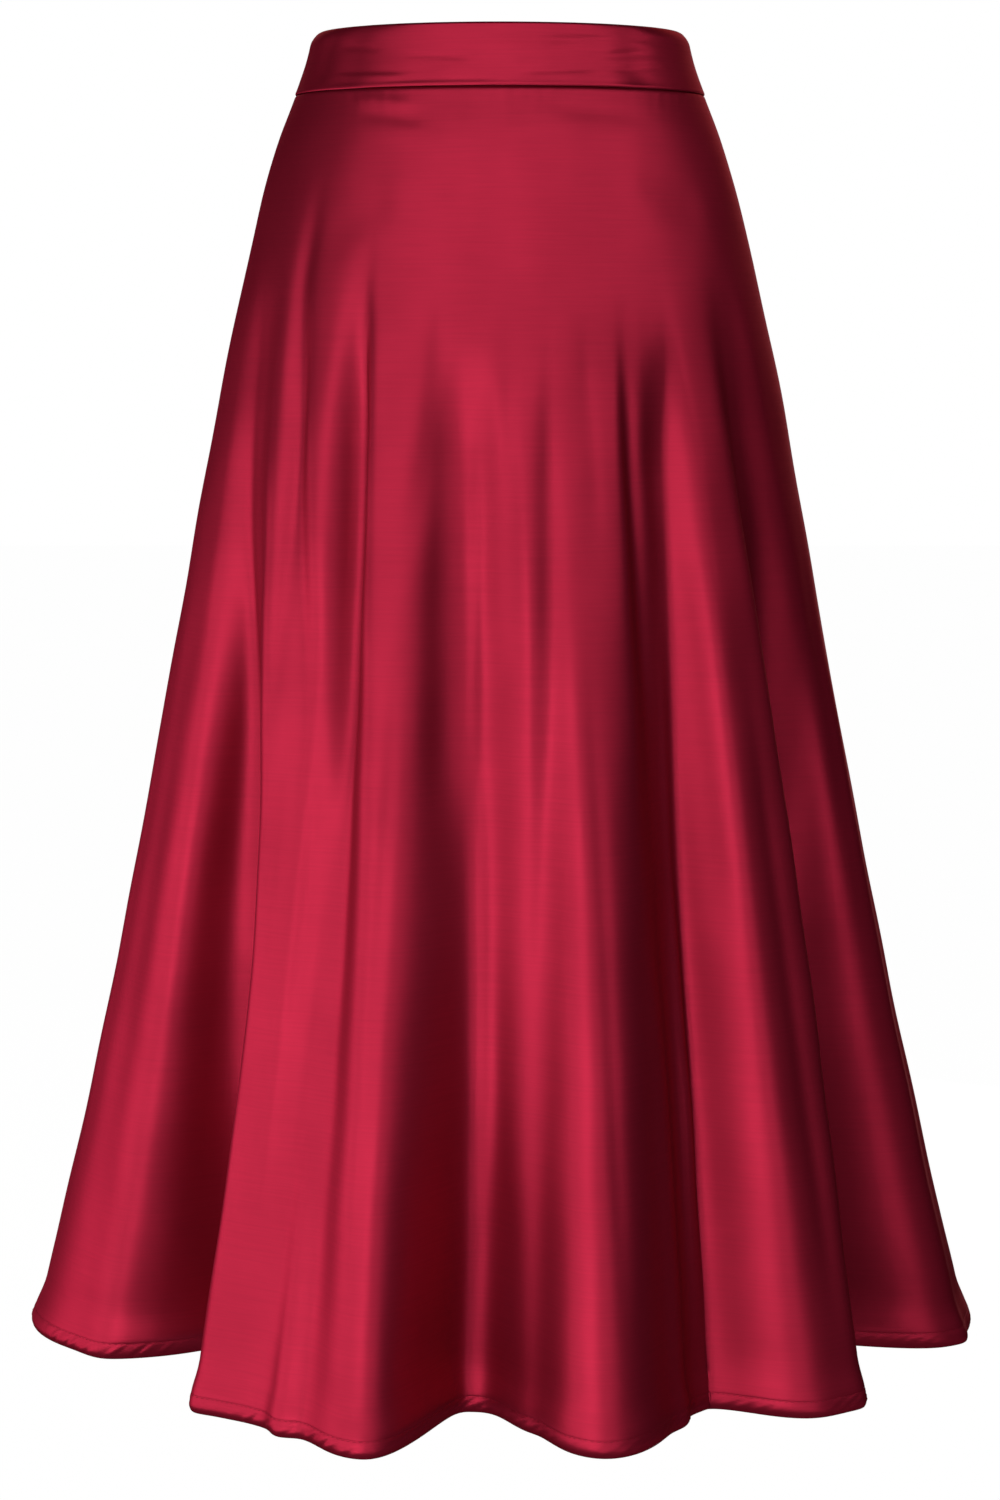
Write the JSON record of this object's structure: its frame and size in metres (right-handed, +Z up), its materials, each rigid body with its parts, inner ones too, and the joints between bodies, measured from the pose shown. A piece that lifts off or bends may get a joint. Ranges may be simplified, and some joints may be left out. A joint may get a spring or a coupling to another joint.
{
  "type": "maxi skirt",
  "caption": "Long flared satin skirt on a shaped waistband, filled out and open at waist and hem, with deep soft folds and a concealed zip at the centre back.",
  "frame": {"origin": "centre of the waistband, half way up it, where the waist holds the skirt", "axes": "+Z up, from hem to waist; the front of the skirt faces -Y; +X is to the right of someone who looks at the front"},
  "size_m": [0.6875, 0.5858, 0.92],
  "materials": {
    "satin": "smooth crimson satin with a broad soft sheen",
    "tape": "matt crimson polyester tape and coil",
    "lacquer": "crimson lacquer on metal"
  },
  "bodies": {
    "skirt": {"skirt_front": "satin", "skirt_back_left": "satin", "skirt_back_right": "satin", "waistband_front": "satin", "waistband_back_left": "satin", "waistband_back_right": "satin", "zip_tape": "tape", "zip_slider": "lacquer"},
    "pull": {"zip_pull": "lacquer"}
  },
  "joints": [
    {"name": "pull_lift", "type": "hinge", "parent": "skirt", "child": "pull", "pos_m": [0, 0.1027, 0.008], "axis": [1, 0, 0], "range_deg": [0, 150]}
  ]
}
